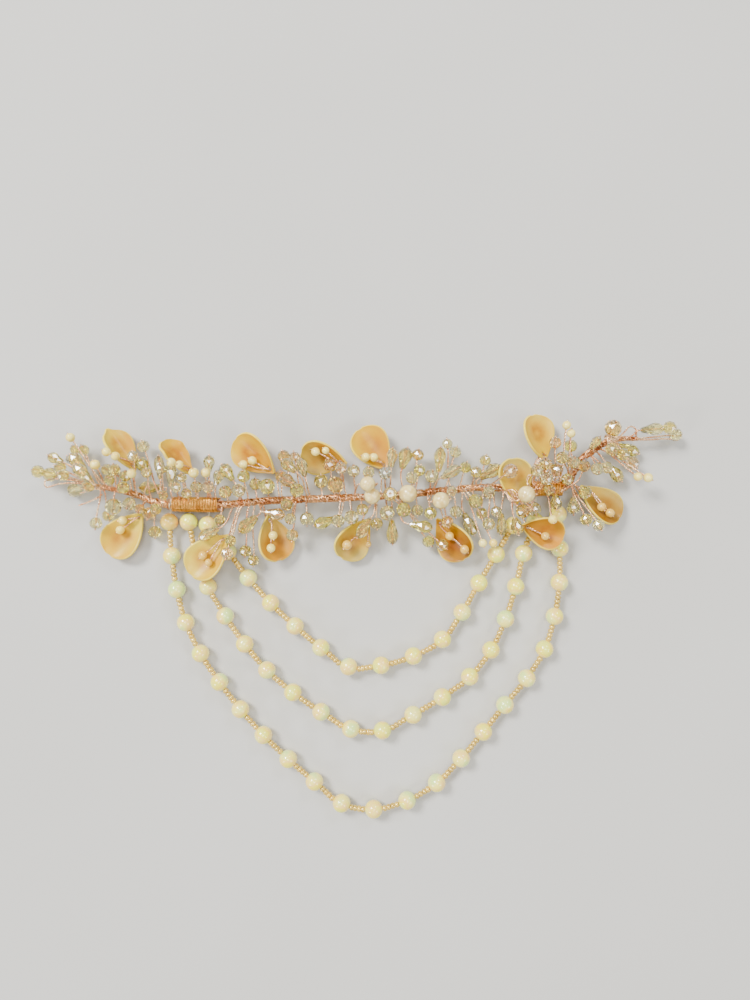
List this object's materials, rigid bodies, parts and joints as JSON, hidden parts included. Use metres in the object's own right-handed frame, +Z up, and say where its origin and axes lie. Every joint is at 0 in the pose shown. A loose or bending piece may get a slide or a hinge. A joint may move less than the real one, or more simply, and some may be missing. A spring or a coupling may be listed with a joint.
{
  "type": "hair vine",
  "caption": "Hair vine of twisted wire set with frosted petals, cut crystals, drops and pearls, on two clips, with nested pearl swags hanging below it.",
  "frame": {"origin": "on the surface that the vine lies on, under the middle of its outline", "axes": "+X along the vine from its left end to its right end as worn facing the viewer, +Y from the swags towards the vine, +Z up from the surface"},
  "size_m": [0.2202, 0.1353, 0.0186],
  "materials": {
    "rose_gold_wire": "bright rose gold",
    "clip_metal": "satin",
    "frosted_petal": "frosted, translucent",
    "cut_crystal": "clear, faceted",
    "pearl": "pearl lustre",
    "seed_bead_string": "silver-lined beads on thread"
  },
  "bodies": {
    "root": {"vine_wire": "rose_gold_wire", "clip_left": "clip_metal", "clip_right": "clip_metal", "petal_01": "frosted_petal", "petal_02": "frosted_petal", "petal_03": "frosted_petal", "petal_04": "frosted_petal", "petal_05": "frosted_petal", "petal_06": "frosted_petal", "petal_07": "frosted_petal", "petal_08": "frosted_petal", "petal_09": "frosted_petal", "petal_10": "frosted_petal", "petal_11": "frosted_petal", "petal_12": "frosted_petal", "petal_13": "frosted_petal", "petal_14": "frosted_petal", "drop_01": "cut_crystal", "drop_02": "cut_crystal", "drop_03": "cut_crystal", "drop_04": "cut_crystal", "drop_05": "cut_crystal", "drop_06": "cut_crystal", "drop_07": "cut_crystal", "drop_08": "cut_crystal", "drop_09": "cut_crystal", "drop_10": "cut_crystal", "drop_11": "cut_crystal", "drop_12": "cut_crystal", "drop_13": "cut_crystal", "drop_14": "cut_crystal", "drop_15": "cut_crystal", "drop_16": "cut_crystal", "drop_17": "cut_crystal", "drop_18": "cut_crystal", "drop_19": "cut_crystal", "drop_20": "cut_crystal", "crystals_left_end": "cut_crystal", "crystals_left": "cut_crystal", "crystals_mid_left": "cut_crystal", "crystals_centre": "cut_crystal", "crystals_mid_right": "cut_crystal", "crystals_right": "cut_crystal", "small_drops": "cut_crystal", "seed_pearls": "pearl", "centre_pearls": "pearl", "swag_outer_pearls": "pearl", "swag_middle_pearls": "pearl", "swag_inner_pearls": "pearl", "swag_outer_string": "seed_bead_string", "swag_middle_string": "seed_bead_string", "swag_inner_string": "seed_bead_string"}
  },
  "joints": []
}
